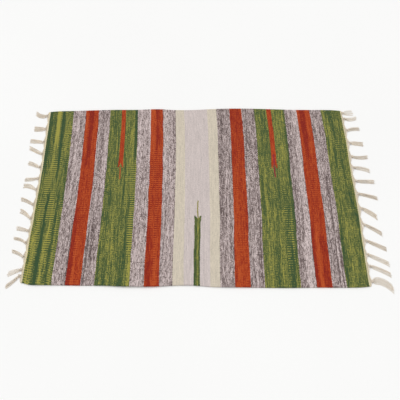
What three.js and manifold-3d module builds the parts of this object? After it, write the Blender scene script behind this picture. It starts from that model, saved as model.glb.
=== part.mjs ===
// A small flat-woven kilim rug, lying flat, with knotted warp tassels at both short ends.
// Millimetres. +X runs along the warps, +Y towards the far selvedge and +Z up from the floor.
// The origin is the centre of the cloth's underside.

import * as THREE from "three";
import * as BufferGeometryUtils from "three/addons/utils/BufferGeometryUtils.js";
import Module from "manifold-3d";

// Driving dimensions of the cloth
const CLOTH_LENGTH = 892;
const CLOTH_WIDTH = 595;
const RIB_TOP = 3.0;
const RIB_VALLEY = 2.4;
const WARP_PITCH = 3.4;

// How far the woven slab is made past each end before it is trimmed to the outline
const SLAB_SPARE = 20;

// How far the slab is held back from the cloth's long edges, where the selvedges cover it
const SELVEDGE_OVERLAP = 3.0;

// A selvedge's section: its two outermost warps are doubled, so they make two thick ribs that
// stand a little prouder than the rest
const SELVEDGE_SECTION = [
  { inward: 0.6, height: 0.0 },
  { inward: 8.0, height: 0.0 },
  { inward: 8.0, height: 2.2 },
  { inward: 7.0, height: 3.3 },
  { inward: 5.1, height: 3.3 },
  { inward: 4.0, height: 2.7 },
  { inward: 2.9, height: 3.5 },
  { inward: 1.1, height: 3.5 },
  { inward: 0.0, height: 2.2 },
  { inward: 0.0, height: 1.0 },
];

// Driving dimensions of the fringe
const PIECE_GAP = 0.3;
const BAND_WIDTH = 4.4;
const BAND_TOP = 2.6;
const WARP_TOP = 1.6;
const GATHER_CURVE = 2.2;
const GATHER_END = 0.88;
const KNOT_LENGTH = 9.0;
const KNOT_WIDTH = 8.6;
const KNOT_HEIGHT = 6.6;
const STRANDS = 5;
const STRAND_ROOT_PITCH = 1.35;
const STRAND_FILL = 0.78;
const STRAND_CREST_SHARE = 0.62;
const STRAND_ROOT_TOP = 3.2;
const STRAND_TIP_TOP = 2.0;
const STRAND_TRIM = 3.0;
const TRIM_BY_STRAND = 2.4;
const TRIM_BY_PLACE = 0.11;

// How finely the curved forms are divided
const SELVEDGE_STEPS = 44;
const END_STEPS = 16;
const WARP_STEPS = 4;
const STRAND_STEPS = 4;
const KNOT_ROUND = 8;
const KNOT_RINGS = 4;

// How far each selvedge stands out from half the width, by place along the cloth.
// The pale middle was beaten tighter, so the cloth draws in there, and the corners pull in.
const SELVEDGES = [
  { along: -446, far: -8.0, near: -10.5 },
  { along: -434, far: -6.0, near: -5.0 },
  { along: -418, far: -5.0, near: -4.5 },
  { along: -370, far: -3.5, near: -4.0 },
  { along: -300, far: -1.0, near: -3.0 },
  { along: -235, far: 0.5, near: -2.5 },
  { along: -190, far: 0.5, near: 0.0 },
  { along: -108, far: 4.0, near: 0.5 },
  { along: -82, far: 1.5, near: -1.0 },
  { along: -55, far: 0.0, near: -3.0 },
  { along: -5, far: 0.5, near: -3.0 },
  { along: 45, far: 3.5, near: 1.0 },
  { along: 115, far: 6.5, near: 2.0 },
  { along: 230, far: 4.5, near: 3.5 },
  { along: 300, far: 2.0, near: 2.5 },
  { along: 400, far: 1.0, near: 2.5 },
  { along: 434, far: -0.5, near: 1.5 },
  { along: 446, far: -2.5, near: -0.5 },
];

// How far each end stands out from half the length, by place across the cloth.
// The weft bows a little to +X in the middle.
const ENDS = [
  { across: -297, left: 2.0, right: 0.0 },
  { across: -220, left: 1.5, right: -0.5 },
  { across: -158, left: 0.5, right: 0.0 },
  { across: -63, left: -0.5, right: 2.0 },
  { across: 0, left: -1.5, right: 0.5 },
  { across: 70, left: -2.0, right: -0.5 },
  { across: 180, left: 0.0, right: 0.0 },
  { across: 222, left: 0.5, right: -1.0 },
  { across: 297, left: 2.0, right: -4.5 },
];

// One row for each tassel, from the near corner to the far one. at is the knot's place across the
// cloth, and knot and reach are how far the knot and the tip stand out from the cloth's end. lean
// is how far the tip lies towards +Y, bow how far the middle does, and spread the tip's width.
const LEFT_TASSELS = [
  { at: -277, knot: 10.0, reach: 42, lean: -33, bow: -2, spread: 7 },
  { at: -259, knot: 9.5, reach: 43, lean: -14, bow: 1, spread: 8 },
  { at: -219, knot: 10.0, reach: 43, lean: 17, bow: 3, spread: 7 },
  { at: -175, knot: 10.0, reach: 45, lean: 14, bow: 3, spread: 7 },
  { at: -137, knot: 9.5, reach: 43, lean: 8, bow: 1, spread: 13 },
  { at: -96, knot: 9.5, reach: 42, lean: 26, bow: 3, spread: 8 },
  { at: -50, knot: 9.5, reach: 47, lean: 20, bow: 2, spread: 9 },
  { at: 2, knot: 9.5, reach: 47, lean: 13, bow: 5, spread: 9 },
  { at: 41, knot: 9.5, reach: 47, lean: -4, bow: -1, spread: 9 },
  { at: 82, knot: 10.0, reach: 46, lean: 16, bow: 2, spread: 13 },
  { at: 132, knot: 9.5, reach: 49, lean: 24, bow: 0, spread: 8 },
  { at: 176, knot: 9.5, reach: 50, lean: 5, bow: 1, spread: 12 },
  { at: 228, knot: 9.5, reach: 44, lean: 1, bow: 0, spread: 14 },
  { at: 281, knot: 11.0, reach: 45, lean: 13, bow: -6, spread: 12 },
];
const RIGHT_TASSELS = [
  { at: -283, knot: 10.0, reach: 63, lean: -25, bow: 11, spread: 15 },
  { at: -239, knot: 11.0, reach: 64, lean: -28, bow: 3, spread: 9 },
  { at: -205, knot: 11.0, reach: 64, lean: -29, bow: 1, spread: 9 },
  { at: -163, knot: 12.5, reach: 63, lean: -26, bow: 1, spread: 8 },
  { at: -112, knot: 12.5, reach: 58, lean: -30, bow: 2, spread: 9 },
  { at: -60, knot: 12.5, reach: 52, lean: -30, bow: 3, spread: 11 },
  { at: -11, knot: 12.5, reach: 63, lean: -16, bow: 2, spread: 8 },
  { at: 34, knot: 11.0, reach: 64, lean: -3, bow: 0, spread: 8 },
  { at: 81, knot: 12.5, reach: 58, lean: -13, bow: 3, spread: 9 },
  { at: 121, knot: 11.0, reach: 58, lean: 0, bow: -3, spread: 12 },
  { at: 172, knot: 12.5, reach: 52, lean: -5, bow: 1, spread: 14 },
  { at: 221, knot: 11.0, reach: 50, lean: 5, bow: 3, spread: 13 },
  { at: 266, knot: 10.0, reach: 48, lean: 5, bow: -4, spread: 10 },
  { at: 289, knot: 10.0, reach: 41, lean: 2, bow: 0, spread: 12 },
];

const HALF_LENGTH = CLOTH_LENGTH / 2;
const HALF_WIDTH = CLOTH_WIDTH / 2;
const LEFT = -1;
const RIGHT = 1;

const wasm = await Module();
wasm.setup();

// A smooth function of place through one column of a table
function track(rows, key, column) {
  const places = rows.map((row) => row[key]);
  const values = rows.map((row) => row[column]);
  const cubic = new THREE.CubicInterpolant(places, values, 1);
  return (place) => cubic.evaluate(place)[0];
}

const farOut = track(SELVEDGES, "along", "far");
const nearOut = track(SELVEDGES, "along", "near");
const leftOut = track(ENDS, "across", "left");
const rightOut = track(ENDS, "across", "right");

// Where a point of the evenly woven cloth lies, with u from -1 at the left end to 1 at the right
// end, and v from -1 at the near selvedge to 1 at the far one
function onCloth(u, v) {
  const x = u * HALF_LENGTH;
  const y = v * HALF_WIDTH;
  const shift = THREE.MathUtils.lerp(-leftOut(y), rightOut(y), (u + 1) / 2);
  const draw = THREE.MathUtils.lerp(-nearOut(x), farOut(x), (v + 1) / 2);
  return new THREE.Vector2(x + shift, y + draw);
}

// A point out from one end of the cloth, at a place across it in millimetres
function beyondEnd(side, across, out) {
  const point = onCloth(side, across / HALF_WIDTH);
  point.x += side * out;
  return point;
}

// Evenly spaced numbers from one value to another, both included
function steps(from, to, count) {
  return Array.from({ length: count + 1 }, (_, i) => THREE.MathUtils.lerp(from, to, i / count));
}

// Moves every vertex of a geometry to the place that a function gives for it
function reshape(geometry, place) {
  const points = geometry.attributes.position;
  const point = new THREE.Vector3();
  for (let i = 0; i < points.count; i += 1) {
    point.fromBufferAttribute(points, i);
    const moved = place(point.clone());
    points.setXYZ(i, moved.x, moved.y, moved.z);
  }
  return geometry;
}

function solidFrom(geometry) {
  geometry.deleteAttribute("normal");
  geometry.deleteAttribute("uv");
  const merged = BufferGeometryUtils.mergeVertices(geometry, 1e-5);
  return new wasm.Manifold(
    new wasm.Mesh({
      numProp: 3,
      vertProperties: new Float32Array(merged.attributes.position.array),
      triVerts: new Uint32Array(merged.index.array),
    }),
  );
}

function geometryFrom(solid) {
  const mesh = solid.getMesh();
  const geometry = new THREE.BufferGeometry();
  const positions = new Float32Array(mesh.vertProperties);
  geometry.setAttribute("position", new THREE.BufferAttribute(positions, mesh.numProp));
  geometry.setIndex(new THREE.BufferAttribute(new Uint32Array(mesh.triVerts), 1));
  geometry.computeVertexNormals();
  return geometry;
}

// A plate of an outline in plan, standing on the floor
function plate(outline, height) {
  const shape = new THREE.Shape(outline);
  return solidFrom(new THREE.ExtrudeGeometry(shape, { depth: height, bevelEnabled: false }));
}

// The woven slab: one rib over each warp, from end to end
function ribbedSlab() {
  const warps = 2 * Math.ceil((HALF_WIDTH + WARP_PITCH) / WARP_PITCH);
  const start = (-warps * WARP_PITCH) / 2;
  const section = new THREE.Shape();
  section.moveTo(-start, 0);
  section.lineTo(start, 0);
  section.lineTo(start, RIB_VALLEY);
  for (let warp = 0; warp < warps; warp += 1) {
    const at = start + warp * WARP_PITCH;
    section.lineTo(at + WARP_PITCH / 2, RIB_TOP);
    section.lineTo(at + WARP_PITCH, RIB_VALLEY);
  }
  const depth = CLOTH_LENGTH + 2 * SLAB_SPARE;
  const slab = new THREE.ExtrudeGeometry(section, { depth, bevelEnabled: false });
  slab.translate(0, 0, -depth / 2);
  const acrossUpAlong = new THREE.Matrix4().makeBasis(
    new THREE.Vector3(0, 1, 0),
    new THREE.Vector3(0, 0, 1),
    new THREE.Vector3(1, 0, 0),
  );
  return solidFrom(slab.applyMatrix4(acrossUpAlong));
}

// The cloth's outline in plan, with its long sides drawn in by the selvedges' overlap
function clothOutline() {
  const v = 1 - SELVEDGE_OVERLAP / HALF_WIDTH;
  const far = steps(-1, 1, SELVEDGE_STEPS).map((u) => onCloth(u, v));
  const right = steps(v, -v, END_STEPS).map((across) => onCloth(1, across));
  const near = steps(1, -1, SELVEDGE_STEPS).map((u) => onCloth(u, -v));
  const left = steps(-v, v, END_STEPS).map((across) => onCloth(-1, across));
  return [...far, ...right.slice(1), ...near.slice(1), ...left.slice(1, -1)];
}

// One selvedge, which follows the cloth's edge. side is 1 at the far edge and -1 at the near one.
function selvedge(side) {
  const corners = SELVEDGE_SECTION.map((row) => new THREE.Vector2(row.inward, row.height));
  const bar = new THREE.ExtrudeGeometry(new THREE.Shape(corners), {
    depth: 1,
    steps: SELVEDGE_STEPS,
    bevelEnabled: false,
  });
  return solidFrom(
    reshape(bar, ({ x: inward, y: height, z: share }) => {
      const edge = onCloth(side * (1 - 2 * share), side);
      return new THREE.Vector3(edge.x, edge.y - side * inward, height);
    }),
  );
}

function clothSolid() {
  const trimmed = ribbedSlab().intersect(plate(clothOutline(), 2 * RIB_TOP));
  return trimmed.add(selvedge(1)).add(selvedge(-1));
}

// The band of plain picks that locks the last coloured one, along one end of the cloth
function endBand(side) {
  const across = steps(-HALF_WIDTH, HALF_WIDTH, END_STEPS);
  const inner = across.map((y) => beyondEnd(side, y, PIECE_GAP));
  const outer = across.map((y) => beyondEnd(side, y, PIECE_GAP + BAND_WIDTH));
  return plate([...inner, ...outer.reverse()], BAND_TOP);
}

// The bare warps of one group, gathered from the band into their knot
function gatheredWarps(side, tassel, from, to) {
  const root = PIECE_GAP + BAND_WIDTH / 2;
  const bandEdge = PIECE_GAP + BAND_WIDTH;
  const pull = (edge, share) => {
    const across = THREE.MathUtils.lerp(edge, tassel.at, share);
    const out = THREE.MathUtils.lerp(bandEdge, tassel.knot, share ** GATHER_CURVE);
    return beyondEnd(side, across, out);
  };
  const shares = steps(0, GATHER_END, WARP_STEPS);
  const outline = [
    beyondEnd(side, from, root),
    ...shares.map((share) => pull(from, share)),
    ...shares.map((share) => pull(to, share)).reverse(),
    beyondEnd(side, to, root),
  ];
  return plate(outline, WARP_TOP);
}

function knot(side, tassel) {
  const ball = new THREE.SphereGeometry(0.5, KNOT_ROUND, KNOT_RINGS);
  ball.rotateZ(Math.PI / 2);
  ball.scale(KNOT_LENGTH, KNOT_WIDTH, KNOT_HEIGHT);
  const centre = beyondEnd(side, tassel.at, tassel.knot);
  ball.translate(centre.x, centre.y, KNOT_HEIGHT / 2);
  return solidFrom(ball);
}

// One strand, level on the floor, from inside the knot to its cut tip. A bar of unit size is bent
// along the tassel's line: x runs along it, y across it and z up.
function strand(side, tassel, index) {
  const place = index - (STRANDS - 1) / 2;
  const cut = Math.sin(TRIM_BY_STRAND * index + TRIM_BY_PLACE * tassel.at);
  const length = tassel.reach - tassel.knot - (STRAND_TRIM * (1 + cut)) / 2;
  const line = (share) => {
    const run = (share * length) / (tassel.reach - tassel.knot);
    const across = tassel.at + tassel.lean * run + tassel.bow * 4 * run * (1 - run);
    return beyondEnd(side, across, tassel.knot + share * length);
  };
  const bar = new THREE.BoxGeometry(1, 1, 1, STRAND_STEPS, 1, 1);
  return solidFrom(
    reshape(bar, ({ x, y, z }) => {
      const share = x + 0.5;
      const middle = line(share);
      const ahead = line(share + 0.01).sub(line(share - 0.01)).normalize();
      const pitch = THREE.MathUtils.lerp(STRAND_ROOT_PITCH, tassel.spread / STRANDS, share);
      const width = pitch * STRAND_FILL * (z > 0 ? STRAND_CREST_SHARE : 1);
      const across = place * pitch + y * width;
      const top = THREE.MathUtils.lerp(STRAND_ROOT_TOP, STRAND_TIP_TOP, share);
      return new THREE.Vector3(
        middle.x - ahead.y * across,
        middle.y + ahead.x * across,
        (z + 0.5) * top,
      );
    }),
  );
}

// The fringe of one end: its band, the gathered warps, the knots and their strands, all in one
function fringeSolid(side, tassels) {
  const halfway = tassels.slice(1).map((tassel, i) => (tassel.at + tassels[i].at) / 2);
  const limits = [-HALF_WIDTH, ...halfway, HALF_WIDTH];
  const pieces = [endBand(side)];
  tassels.forEach((tassel, i) => {
    pieces.push(gatheredWarps(side, tassel, limits[i], limits[i + 1]));
    pieces.push(knot(side, tassel));
    for (let index = 0; index < STRANDS; index += 1) {
      pieces.push(strand(side, tassel, index));
    }
  });
  return wasm.Manifold.union(pieces);
}

function yarn(colour) {
  return new THREE.MeshStandardMaterial({ color: colour, roughness: 0.95, metalness: 0 });
}

function named(name, solid, material) {
  const mesh = new THREE.Mesh(geometryFrom(solid), material);
  mesh.name = name;
  return mesh;
}

const wovenWeft = yarn(0x7c7a4a);
const bareWarp = yarn(0xd6cbb0);

const rug = new THREE.Group();
rug.add(named("cloth", clothSolid(), wovenWeft));
rug.add(named("fringe_left", fringeSolid(LEFT, LEFT_TASSELS), bareWarp));
rug.add(named("fringe_right", fringeSolid(RIGHT, RIGHT_TASSELS), bareWarp));

export default rug;
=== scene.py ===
# %% [markdown]
# # A small striped kilim, laid flat
# A kilim is a rug without pile. Cotton warps are stretched along the loom, and coloured wefts are
# beaten down over them until no warp shows. What is left is a thin, firm cloth of fine ribs, with
# the same stripes on both faces. At both ends the bare warps are knotted in bunches, so that the
# weft can't slide off.
#
# The packed model gives the true size and outline of the cloth and of its two fringes. This lesson
# reads them, and then makes what a plain solid can't show: the ribs on both faces, every loose
# yarn, the knots and the dyes.

import bpy
import numpy as np
from mathutils import Matrix, Vector


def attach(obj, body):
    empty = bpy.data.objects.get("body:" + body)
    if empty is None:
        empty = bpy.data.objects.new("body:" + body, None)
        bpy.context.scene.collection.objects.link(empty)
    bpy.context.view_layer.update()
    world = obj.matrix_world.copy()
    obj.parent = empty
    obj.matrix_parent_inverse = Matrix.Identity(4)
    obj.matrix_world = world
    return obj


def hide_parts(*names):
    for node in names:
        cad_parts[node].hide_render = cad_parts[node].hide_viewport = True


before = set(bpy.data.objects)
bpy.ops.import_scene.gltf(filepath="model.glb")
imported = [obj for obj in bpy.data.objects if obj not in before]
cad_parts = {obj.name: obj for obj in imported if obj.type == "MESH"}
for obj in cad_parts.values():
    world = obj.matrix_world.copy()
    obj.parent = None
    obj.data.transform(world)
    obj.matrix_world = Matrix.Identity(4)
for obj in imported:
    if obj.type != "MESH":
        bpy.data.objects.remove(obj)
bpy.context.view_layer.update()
MM = 0.001


# %% [markdown]
# ## The camera
# The camera comes first, so that every later step can be looked at. The rug's four corners give the
# place from which it was seen: a metre and a half up, on the near side, looking steeply down. The
# lens is a little longer than a normal one, which keeps the far edge nearly as long as the near one.

# %% Place the camera
CAMERA_PLACE = (5.3 * MM, -985.7 * MM, 1471.5 * MM)
CAMERA_DOWN = 57.03
CAMERA_TURN = 0.325
CAMERA_ROLL = 0.317
LENS = 56.33
FULL_FRAME = 36

camera = bpy.data.objects.new("camera", bpy.data.cameras.new("camera"))
bpy.context.scene.collection.objects.link(camera)
camera.data.lens = LENS
camera.data.sensor_width = FULL_FRAME
turn = Matrix.Rotation(np.radians(-CAMERA_TURN), 4, "Z")
tilt = Matrix.Rotation(np.radians(90 - CAMERA_DOWN), 4, "X")
roll = Matrix.Rotation(np.radians(CAMERA_ROLL), 4, "Z")
camera.matrix_world = Matrix.Translation(CAMERA_PLACE) @ turn @ tilt @ roll
bpy.context.scene.camera = camera
print("camera height, m:", CAMERA_PLACE[2])

# %% [markdown]
# ## The outline of the cloth
# Hand-woven cloth is never a true rectangle. It draws in where the weft was beaten harder, and its
# ends bow. The solids hold that outline already, so it is read from them and not drawn again: the
# two selvedges are widest one millimetre above the floor, and the two ends are cut straight down.

# %% Read the selvedges and the ends from the solids
CLOTH_LENGTH = 892 * MM
CLOTH_WIDTH = 595 * MM
WIDEST_HEIGHT = 1.0 * MM
END_BOW = 5.0 * MM
TINY = 0.01 * MM
X, Y, Z = range(3)
LEFT, RIGHT = -1, 1


def coordinates(mesh):
    found = np.zeros(len(mesh.vertices) * 3)
    mesh.vertices.foreach_get("co", found)
    return found.reshape(-1, 3)


def line_through(points, key, value):
    ordered = points[np.argsort(points[:, key])]
    return lambda place: np.interp(place, ordered[:, key], ordered[:, value])


cloth_points = np.unique(coordinates(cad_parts["cloth"].data).round(6), axis=0)
widest = cloth_points[abs(cloth_points[:, Z] - WIDEST_HEIGHT) < TINY]
near_points = widest[widest[:, Y] < 0]
far_points = widest[widest[:, Y] > 0]
near_edge = line_through(near_points, X, Y)
far_edge = line_through(far_points, X, Y)


def end_line(side):
    reach = side * cloth_points[:, X]
    cut = cloth_points[(reach > reach.max() - END_BOW) & (cloth_points[:, Z] < TINY)]
    corners = [edge[np.argmax(side * edge[:, X])] for edge in (near_points, far_points)]
    return line_through(np.vstack([cut, corners]), Y, X)


ends = {side: end_line(side) for side in (LEFT, RIGHT)}
print("width at the middle, mm:", round(float(far_edge(0) - near_edge(0)) / MM, 1))
print("length at the middle, mm:", round(float(ends[RIGHT](0) - ends[LEFT](0)) / MM, 1))

# %% [markdown]
# Every thread is placed by one function. A pick is one pass of the weft, named by where it starts
# at the near selvedge and where it arrives at the far one. A share from 0 to 1 says how far along
# that pick a point is. In between, the pick bows as the two ends of the cloth do.

# %% Lay a point of the cloth in plan
def bow(side, share):
    line = ends[side]
    straight = line(-CLOTH_WIDTH / 2) * (1 - share) + line(CLOTH_WIDTH / 2) * share
    return line((share - 0.5) * CLOTH_WIDTH) - straight


def in_plan(near_x, far_x, share):
    straight = near_x * (1 - share) + far_x * share
    rightness = straight / CLOTH_LENGTH + 0.5
    x = straight + bow(LEFT, share) * (1 - rightness) + bow(RIGHT, share) * rightness
    y = near_edge(x) * (1 - share) + far_edge(x) * share
    return x, y


def end_pick(side):
    return float(ends[side](-CLOTH_WIDTH / 2)), float(ends[side](CLOTH_WIDTH / 2))


print("left end's pick, mm:", [round(x / MM, 1) for x in end_pick(LEFT)])

# %% [markdown]
# ## The weaver's plan
# The field has twenty stripes. Each row below is one of them: its yarn, and where it starts at the
# far and at the near selvedge, in millimetres from the middle of the rug. The two numbers differ
# because the picks don't lie quite square to the warps.

# %% List the stripes
STRIPES = [
    ("streaked green", -446, -444),
    ("marl", -376, -372),
    ("red", -338, -336),
    ("marl", -299, -297),
    ("green", -264, -262),
    ("pale marl", -180, -171),
    ("red", -140, -134),
    ("pale marl", -103, -95),
    ("dark marl", -67, -64),
    ("cream", -64, -61),
    ("lilac", -38, -32),
    ("cream", 32, 37),
    ("dark marl", 61, 63),
    ("red", 101, 101),
    ("dark marl", 138, 141),
    ("green", 177, 178),
    ("marl", 269, 270),
    ("red", 307, 311),
    ("dark marl", 347, 352),
    ("green", 382, 388),
]
FIELD_END = (443, 446)


def weaving_place(far, near):
    """A place along the cloth as the weaver counts it, with every pick square to the warps."""
    return (far + near) / 2


starts = [(far, near) for yarn, far, near in STRIPES] + [FIELD_END]
print("stripes:", len(STRIPES), "of", sorted({yarn for yarn, far, near in STRIPES}))

# %% [markdown]
# The sheet's mesh needs an edge at every change of yarn, so that the stripes can run askew with the
# mesh while the pattern itself stays simple. Each stripe is split into columns about a centimetre
# wide, and the plain band at each end gets two columns of its own.

# %% Set out the columns from end to end
COLUMN_WIDTH = 12.0
BAND_WIDTH = 4.4

columns = []
for (far, near), (next_far, next_near) in zip(starts, starts[1:]):
    width = weaving_place(next_far, next_near) - weaving_place(far, near)
    count = int(np.ceil(width / COLUMN_WIDTH))
    for share in np.arange(count) / count:
        columns.append((far + (next_far - far) * share, near + (next_near - near) * share))
columns.append(FIELD_END)
columns = np.array(columns, float) * MM
woven = columns.mean(1)
far_x, near_x = columns.T.copy()
near_x[0], far_x[0] = end_pick(LEFT)
near_x[-1], far_x[-1] = end_pick(RIGHT)

band_steps = np.array([0.5, 1.0]) * BAND_WIDTH * MM


def with_bands(places):
    return np.concatenate([places[0] - band_steps[::-1], places, places[-1] + band_steps])


far_x = with_bands(far_x)
near_x = with_bands(near_x)
woven = with_bands(woven)
from_end = np.minimum(np.arange(len(woven)), np.arange(len(woven))[::-1])
in_band = from_end < len(band_steps)
print("columns of the sheet:", len(woven) - 1)

# %% [markdown]
# ## The ribs
# The weft arches over each warp and dips between two, on the face and on the back alike. Three rows
# of vertices for each rib are enough to look round under smooth shading. The four outermost warps
# are taken in pairs for strength, so each selvedge has two fat ribs.

# %% Set out the rows from the near selvedge to the far one
FIELD_RIBS = 165
SELVEDGE_ROWS = [
    # inward from the edge, top of the face, underside of the back, in millimetres
    (0.0, 2.2, 1.0),
    (1.1, 3.5, 0.0),
    (2.9, 3.5, 0.0),
    (4.0, 2.7, 0.5),
    (5.1, 3.3, 0.0),
    (7.0, 3.3, 0.0),
]
FIELD_ROWS = [
    # share of the rib, top of the face, underside of the back
    (0.0, 2.4, 0.5),
    (0.3, 3.0, 0.0),
    (0.7, 3.0, 0.0),
]
SELVEDGE_WIDTH = 8.0
BAND_THINNING = 0.4

rib_pitch = (CLOTH_WIDTH / MM - 2 * SELVEDGE_WIDTH) / FIELD_RIBS
rows = list(SELVEDGE_ROWS)
for rib in range(FIELD_RIBS):
    for share, top, under in FIELD_ROWS:
        rows.append((SELVEDGE_WIDTH + (rib + share) * rib_pitch, top, under))
rows.append((CLOTH_WIDTH / MM - SELVEDGE_WIDTH, *FIELD_ROWS[0][1:]))
for inward, top, under in SELVEDGE_ROWS[::-1]:
    rows.append((CLOTH_WIDTH / MM - inward, top, under))
rows = np.array(rows) * MM
RIBS = (len(rows) - 1) // len(FIELD_ROWS)
print("ribs:", RIBS, "at", round(rib_pitch, 2), "mm; rows of the sheet:", len(rows) - 1)

# %% [markdown]
# ## The way it lies
# A firm cloth on a hard floor isn't dead flat. It keeps a memory of being rolled, and it lifts a
# little wherever it was beaten unevenly. Each row of the first table is a shallow swell: the place
# of its top, how far it reaches along and across the cloth, and how high it stands. The strongest
# one lifts the near selvedge, left of the middle, and throws a thin shadow on the floor. The warps
# stray a little to the side too, as the sum of a few waves, and that keeps the ribs from looking
# ruled.

# %% List the swells and the waves of the warps
SWELLS = [
    # along, across, reach along, reach across, height, in millimetres
    (-165, -300, 75, 45, 2.6),
    (-20, -300, 60, 40, 0.9),
    (95, -305, 50, 30, 1.1),
    (-395, -285, 40, 30, 1.2),
    (-330, 120, 110, 130, 0.8),
    (-120, 60, 90, 160, 0.6),
    (60, -60, 80, 140, 0.9),
    (230, 90, 100, 120, 0.7),
    (350, -150, 90, 100, 0.9),
    (60, 300, 110, 50, 0.7),
    (-250, 300, 80, 40, 0.6),
    (430, 280, 40, 40, 0.9),
]
SWAYS = [
    # millimetres along and rows across for each radian of a wave, and its size in millimetres
    (61, 37, 0.28),
    (143, -71, 0.28),
    (23, 5.3, 0.08),
]


def lift(x, y):
    height = 0
    for along, across, reach_x, reach_y, top in SWELLS:
        distance = ((x / MM - along) / reach_x) ** 2 + ((y / MM - across) / reach_y) ** 2
        height = height + top * np.exp(-distance)
    return height * MM


def sway(x, row):
    """How far a warp strays to the side."""
    waves = [size * np.sin(x / MM / along + row / across) for along, across, size in SWAYS]
    return sum(waves) * MM


print("highest swell, mm:", max(swell[-1] for swell in SWELLS))

# %% [markdown]
# ## The woven sheet
# Now the cloth itself. A flat grid with one cell for each column and row is the easiest start, and
# Solidify turns it into a face, a back and a closed rim. The grid is one unit wide for now, and its
# thickness only tells the face from the back.

# %% Add the grid and give it a back
SHEET_THICKNESS = 0.1


def deselect_all():
    bpy.ops.object.select_all(action="DESELECT")


def apply_modifier(piece, kind, **settings):
    modifier = piece.modifiers.new(kind.title(), kind)
    for name, value in settings.items():
        setattr(modifier, name, value)
    bpy.context.view_layer.objects.active = piece
    bpy.ops.object.modifier_apply(modifier=modifier.name)


deselect_all()
bpy.ops.mesh.primitive_grid_add(x_subdivisions=len(woven) - 1, y_subdivisions=len(rows) - 1, size=1)
cloth = bpy.context.object
cloth.name = "woven_cloth"
cloth.data.name = "woven_cloth"
apply_modifier(cloth, "SOLIDIFY", thickness=SHEET_THICKNESS, offset=-1, use_rim=True)
print("faces of the sheet:", len(cloth.data.polygons))

# %% [markdown]
# Then each vertex moves to its place, which is quicker and truer than bending the grid by hand. Its
# column says which pick it belongs to, and its row says which warp. The warps run straighter near
# the selvedges. The same counts go into a UV map named weave, which later tells the dyes which pick
# and which warp they colour. The full width of that map stands for 900 millimetres of weaving.

# %% Move every vertex to its pick and warp
SWAY_RISE = 6
WOVEN_SPAN = 900


def between_ends(share, rise):
    """0 at both ends of a share and 1 between them, with a straight slope at each end."""
    return np.minimum(1, rise * np.minimum(share, 1 - share))


flat = coordinates(cloth.data)
column = np.rint((flat[:, X] + 0.5) * (len(woven) - 1)).astype(int)
row = np.rint((flat[:, Y] + 0.5) * (len(rows) - 1)).astype(int)
on_face = flat[:, Z] > -SHEET_THICKNESS / 2

inward, top, under = rows[row].T
share = inward / CLOTH_WIDTH
x, y = in_plan(near_x[column], far_x[column], share)
y = y + sway(x, row) * between_ends(share, SWAY_RISE)
z = np.where(on_face, top - BAND_THINNING * MM * in_band[column], under) + lift(x, y)
cloth.data.vertices.foreach_set("co", np.stack([x, y, z], axis=1).ravel())

corner = np.zeros(len(cloth.data.loops), int)
cloth.data.loops.foreach_get("vertex_index", corner)
woven_share = woven[column] / MM / WOVEN_SPAN + 0.5
warp_share = row / (len(rows) - 1)
weave = np.stack([woven_share, warp_share], axis=1)[corner]
cloth.data.uv_layers[0].name = "weave"
cloth.data.uv_layers["weave"].uv.foreach_set("vector", weave.ravel())
cloth.data.polygons.foreach_set("use_smooth", np.ones(len(cloth.data.polygons), bool))
cloth.data.update()
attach(cloth, "root")
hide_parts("cloth")
print("sheet in plan, mm:", np.ptp(x).round(4) / MM, "x", np.ptp(y).round(4) / MM)

# %% [markdown]
# ## The warp yarn
# The warps are plied cotton: three thin strands twisted into one. A piece of that yarn is modelled
# once. A circle of nine points is pinched at every third point, which gives the section three
# lobes, and the Screw modifier pushes the section along its axis while it turns.

# %% Twist one length of yarn
YARN_RADIUS = 0.62
PLY_GROOVE = 0.72
PLIES = 3
PLY_POINTS = 3
SECTION_POINTS = PLIES * PLY_POINTS
STOCK_LENGTH = 110
RING_STEP = 1.25
TURN_LENGTH = 10.0

deselect_all()
bpy.ops.mesh.primitive_circle_add(
    vertices=SECTION_POINTS, radius=YARN_RADIUS * MM, fill_type="NOTHING"
)
stock = bpy.context.object
stock.name = "yarn_stock"
for index, vertex in enumerate(stock.data.vertices):
    vertex.select = index % PLY_POINTS == 0
bpy.ops.object.mode_set(mode="EDIT")
bpy.ops.transform.resize(value=(PLY_GROOVE, PLY_GROOVE, 1))
bpy.ops.object.mode_set(mode="OBJECT")
stock_rings = int(STOCK_LENGTH / RING_STEP)
apply_modifier(
    stock,
    "SCREW",
    axis="Z",
    angle=2 * np.pi * stock_rings * RING_STEP / TURN_LENGTH,
    screw_offset=stock_rings * RING_STEP * MM,
    steps=stock_rings,
    render_steps=stock_rings,
)
stock_points = coordinates(stock.data)
ring_of_point = np.rint(stock_points[:, Z] / MM / RING_STEP)
stock_points = stock_points[np.argsort(ring_of_point, kind="stable")]
sections = stock_points[:, :Z].reshape(stock_rings + 1, SECTION_POINTS, 2)
bpy.data.objects.remove(stock)
print("rings of stock yarn:", len(sections), "of", SECTION_POINTS, "points")

# %% [markdown]
# A yarn is then cut from that stock and bent along its own route. At each ring the route has a
# direction, and the section stands square to it, so the twist goes on unbroken round every bend.
# Quads join one ring to the next, a small fan of triangles closes each end, and a UV map runs along
# and around the yarn.

# %% Skin one yarn
def along_route(route, step):
    """The route again, with points evenly spaced, and its direction at each."""
    lengths = np.concatenate([[0], np.cumsum(np.linalg.norm(np.diff(route, axis=0), axis=1))])
    count = int(lengths[-1] / step) + 1
    at = np.linspace(0, lengths[-1], count)
    points = np.stack([np.interp(at, lengths, route[:, axis]) for axis in (X, Y, Z)], axis=1)
    heading = np.gradient(points, axis=0)
    return points, heading / np.linalg.norm(heading, axis=1, keepdims=True)


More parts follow.
